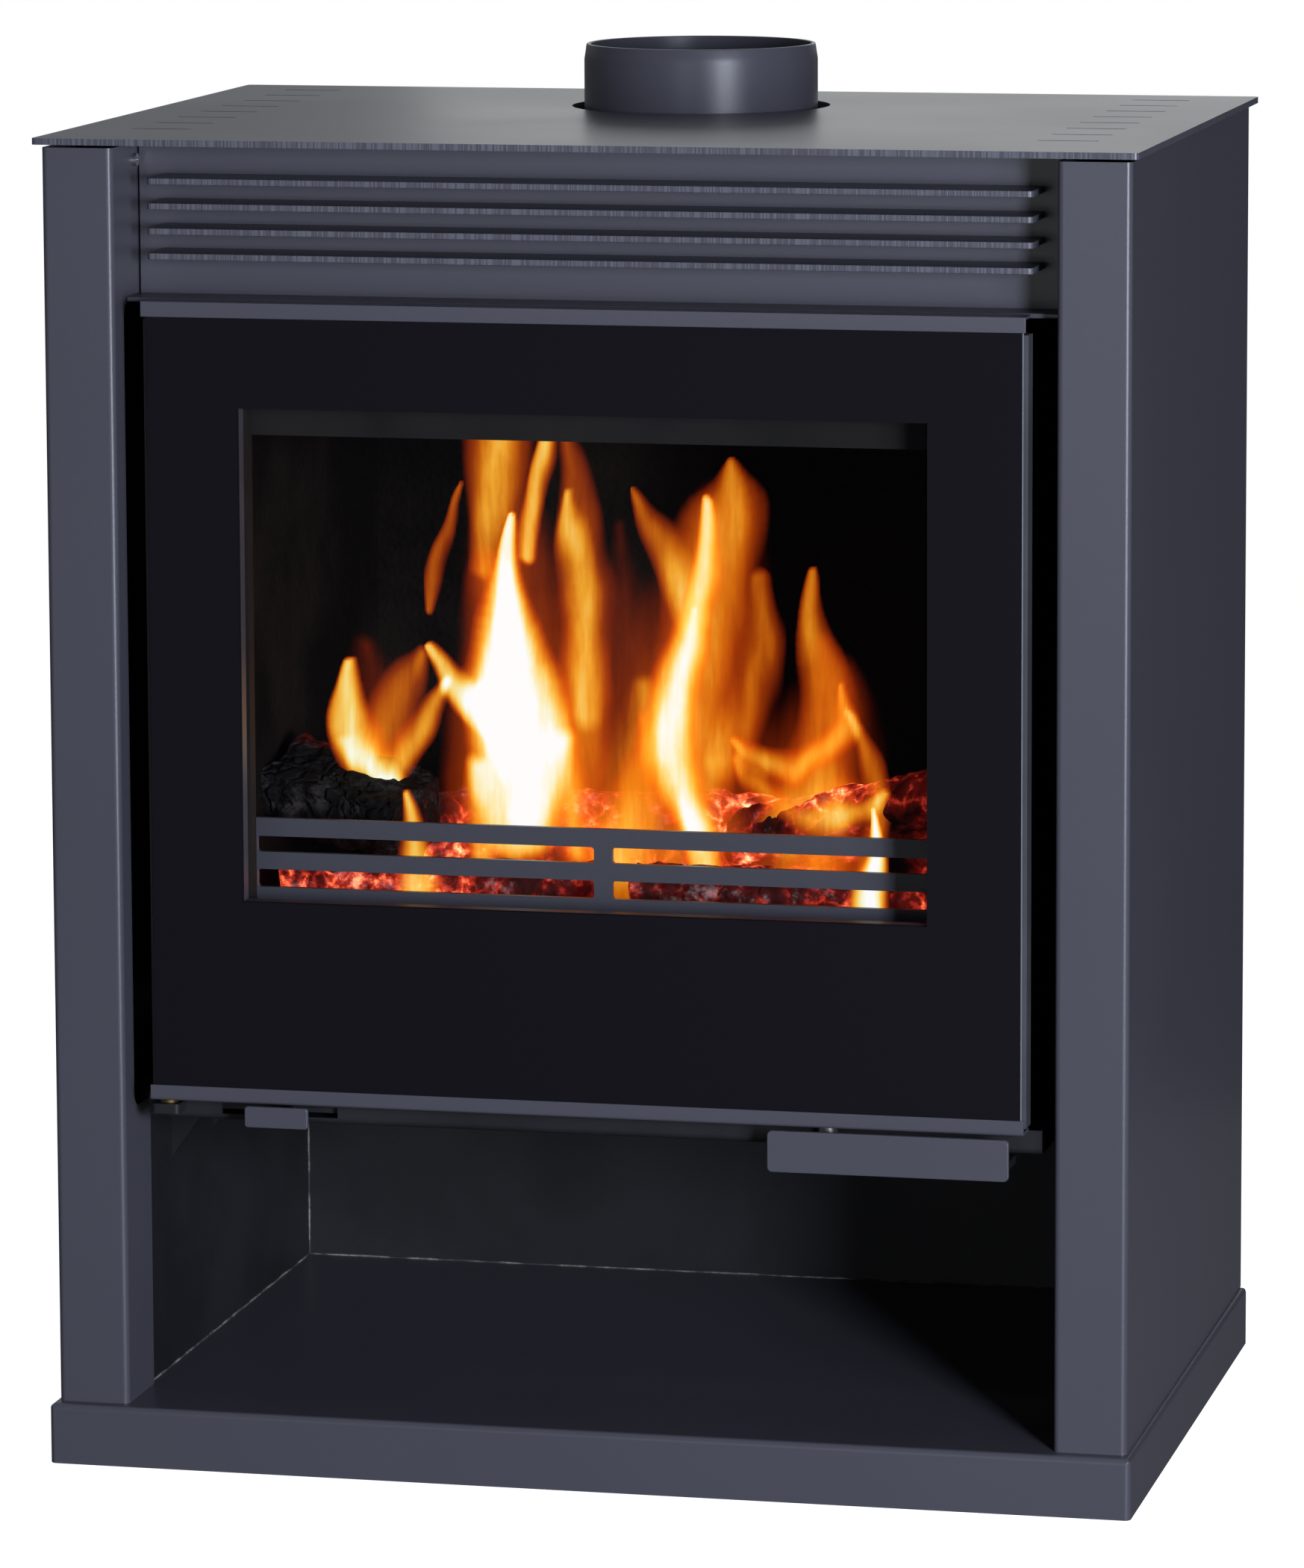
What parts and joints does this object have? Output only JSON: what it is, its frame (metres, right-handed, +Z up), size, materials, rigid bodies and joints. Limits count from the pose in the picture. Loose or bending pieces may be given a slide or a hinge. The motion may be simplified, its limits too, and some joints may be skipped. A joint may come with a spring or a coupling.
{
  "type": "wood burning stove",
  "caption": "Freestanding wood burning stove: steel casing, glazed hinged door, air control, louvred fascia, top flue collar and open log store underneath.",
  "frame": {"origin": "on the floor, under the middle of the stove's bounding box", "axes": "+Z up, the door faces -Y, +X is to the right of a person who faces the door"},
  "size_m": [0.682, 0.486, 0.866],
  "materials": {
    "casing_paint": "satin anthracite heat-resistant paint",
    "dark_steel": "matte black stove paint",
    "door_paint": "satin black",
    "ceramic_glass": "ceramic glass with a black printed border",
    "fire_brick": "sooted vermiculite",
    "cast_iron": "rough cast",
    "rope_fibre": "braided glass fibre",
    "bright_steel": "zinc plated",
    "brass": "plain"
  },
  "bodies": {
    "stove": {"plinth": "casing_paint", "left_side_panel": "casing_paint", "right_side_panel": "casing_paint", "back_panel": "casing_paint", "back_panel_screws": "bright_steel", "top_plate": "casing_paint", "top_rail_left": "dark_steel", "top_rail_right": "dark_steel", "louvre_panel": "casing_paint", "louvre_fin_1": "casing_paint", "louvre_fin_2": "casing_paint", "louvre_fin_3": "casing_paint", "louvre_fin_4": "casing_paint", "fascia_screws": "bright_steel", "store_left_wall": "dark_steel", "store_right_wall": "dark_steel", "store_back_wall": "dark_steel", "firebox_gussets": "dark_steel", "firebox_left_plate": "dark_steel", "firebox_right_plate": "dark_steel", "firebox_rear_plate": "dark_steel", "firebox_roof": "dark_steel", "firebox_floor": "dark_steel", "firebox_front_frame": "dark_steel", "flue_collar": "casing_paint", "air_box": "dark_steel", "brick_left": "fire_brick", "brick_right": "fire_brick", "brick_rear": "fire_brick", "hearth": "fire_brick", "grate": "cast_iron", "baffle_plate": "fire_brick", "smoke_deflector": "dark_steel", "air_wash_plate": "dark_steel", "log_retainer": "casing_paint", "retainer_brackets": "dark_steel", "ash_pan": "dark_steel", "ash_pan_handle": "dark_steel", "hinge_bracket_lower": "dark_steel", "hinge_bracket_upper": "dark_steel", "hinge_pins": "bright_steel", "hinge_washer": "brass", "latch_keeper": "dark_steel"},
    "door": {"door_frame": "door_paint", "door_glass": "ceramic_glass", "glass_gasket": "rope_fibre", "door_top_trim": "casing_paint", "door_bottom_trim": "casing_paint", "door_rope_seal": "rope_fibre", "glass_clips": "bright_steel", "glass_clip_screws": "bright_steel", "hinge_block_lower": "door_paint", "hinge_block_upper": "door_paint", "handle_boss": "door_paint"},
    "handle": {"handle_plate": "casing_paint", "handle_lever": "dark_steel", "handle_pin": "bright_steel"},
    "air_control": {"air_slide": "dark_steel", "air_control_tab": "casing_paint"}
  },
  "joints": [
    {"name": "door_hinge", "type": "hinge", "parent": "stove", "child": "door", "pos_m": [-0.266, -0.2225, 0.476], "axis": [0, 0, -1], "range_deg": [0, 108]},
    {"name": "handle_turn", "type": "hinge", "parent": "door", "child": "handle", "pos_m": [0.1505, -0.2225, 0.21], "axis": [0, 0, -1], "range_deg": [0, 20]},
    {"name": "air_control_slide", "type": "slide", "parent": "stove", "child": "air_control", "axis": [1, 0, 0], "range_m": [-0.03, 0.03]}
  ]
}
